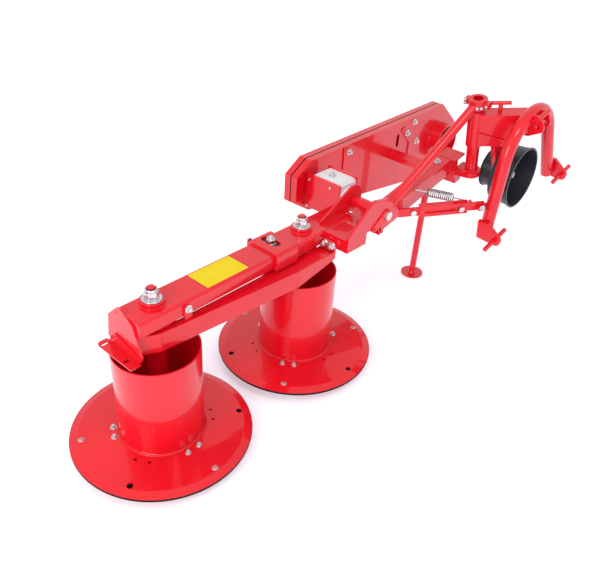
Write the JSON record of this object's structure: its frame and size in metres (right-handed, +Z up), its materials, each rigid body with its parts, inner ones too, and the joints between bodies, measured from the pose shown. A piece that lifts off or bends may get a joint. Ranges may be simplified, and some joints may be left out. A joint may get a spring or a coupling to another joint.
{
  "type": "rotary drum mower",
  "caption": "Rear-mounted rotary drum mower: hitch arch, swing-back arm, belt drive and folding cutter bar whose drums turn knife plates above sliding dishes.",
  "frame": {"origin": "on the ground under the middle of the whole part's box", "axes": "+X out along the cutter bar away from the tractor's middle, +Y forward to the tractor, +Z up"},
  "size_m": [2.777, 0.933, 1.1585],
  "materials": {
    "red_paint": "gloss",
    "zinc_plate": "satin",
    "bare_steel": "satin",
    "black_plastic": "satin",
    "black_paint": "satin",
    "cast_alloy": "as cast"
  },
  "bodies": {
    "hitch": {"hitch_arch": "red_paint", "hitch_lugs": "red_paint", "hitch_pins": "red_paint", "mast_head": "red_paint", "lock_pin": "red_paint", "link_lug": "red_paint", "pto_hanger": "red_paint", "pto_guard_front": "black_plastic", "pto_guard_rear": "black_plastic"},
    "pto_stub": {"pto_shaft": "bare_steel"},
    "arm": {"pivot_tube": "red_paint", "arm_tube": "red_paint", "hinge_sleeve": "red_paint", "cross_channel": "red_paint", "stay_tube": "red_paint", "stay_collar": "red_paint", "belt_guard_front": "red_paint", "belt_guard_back": "red_paint", "guard_collar": "red_paint", "link_bracket": "red_paint", "link_bolt": "zinc_plate", "slotted_link": "red_paint", "link_tongue": "red_paint", "link_spring": "zinc_plate", "spring_hooks": "zinc_plate", "stand_sleeve": "red_paint"},
    "pulley": {"pulley_shaft": "bare_steel"},
    "park_stand": {"stand": "red_paint"},
    "bar": {"beam_case": "red_paint", "beam_saddle": "red_paint", "cap_nuts": "zinc_plate", "end_plate": "red_paint", "flap_bracket": "red_paint", "guard_tube": "red_paint", "hinge_base": "red_paint", "hinge_gussets": "red_paint", "hinge_pin": "zinc_plate", "gearbox": "cast_alloy", "gearbox_plates": "red_paint", "spindle_outer": "red_paint", "spindle_inner": "red_paint"},
    "rotor_outer": {"plate_outer": "red_paint", "drum_outer": "red_paint", "hub_outer": "bare_steel", "knives_outer": "bare_steel"},
    "rotor_inner": {"plate_inner": "red_paint", "drum_inner": "red_paint", "hub_inner": "bare_steel", "knives_inner": "bare_steel"},
    "skid_outer": {"dish_outer": "black_paint"},
    "skid_inner": {"dish_inner": "black_paint"}
  },
  "joints": [
    {"name": "arm_swing", "type": "hinge", "parent": "hitch", "child": "arm", "pos_m": [-0.68452, 0.1635, 0.99991], "axis": [-0.2079, 0, -0.9781], "range_deg": [0, 60]},
    {"name": "cutter_fold", "type": "hinge", "parent": "arm", "child": "bar", "pos_m": [-0.0985, 0.0145, 0.722], "axis": [0, -1, 0], "range_deg": [-15, 90]},
    {"name": "drum_outer_spin", "type": "hinge", "parent": "bar", "child": "rotor_outer", "pos_m": [1.0235, -0.1015, 0.3], "axis": [0, 0, 1], "continuous": true},
    {"name": "drum_inner_spin", "type": "hinge", "parent": "bar", "child": "rotor_inner", "pos_m": [0.2295, -0.1015, 0.3], "axis": [0, 0, 1], "continuous": true},
    {"name": "dish_outer_spin", "type": "hinge", "parent": "rotor_outer", "child": "skid_outer", "pos_m": [1.0235, -0.1015, 0.04], "axis": [0, 0, 1], "continuous": true},
    {"name": "dish_inner_spin", "type": "hinge", "parent": "rotor_inner", "child": "skid_inner", "pos_m": [0.2295, -0.1015, 0.04], "axis": [0, 0, 1], "continuous": true},
    {"name": "pto_spin", "type": "hinge", "parent": "hitch", "child": "pto_stub", "pos_m": [-0.88066, 0.2515, 0.75535], "axis": [0, 1, 0], "continuous": true},
    {"name": "pulley_spin", "type": "hinge", "parent": "arm", "child": "pulley", "pos_m": [-1.2165, -0.3015, 0.661], "axis": [0, 1, 0], "continuous": true},
    {"name": "stand_slide", "type": "slide", "parent": "arm", "child": "park_stand", "axis": [0, 0, 1], "range_m": [0, 0.25]}
  ],
  "couplings": [
    {"joint": "drum_inner_spin", "follows": "drum_outer_spin", "ratio": -1}
  ]
}
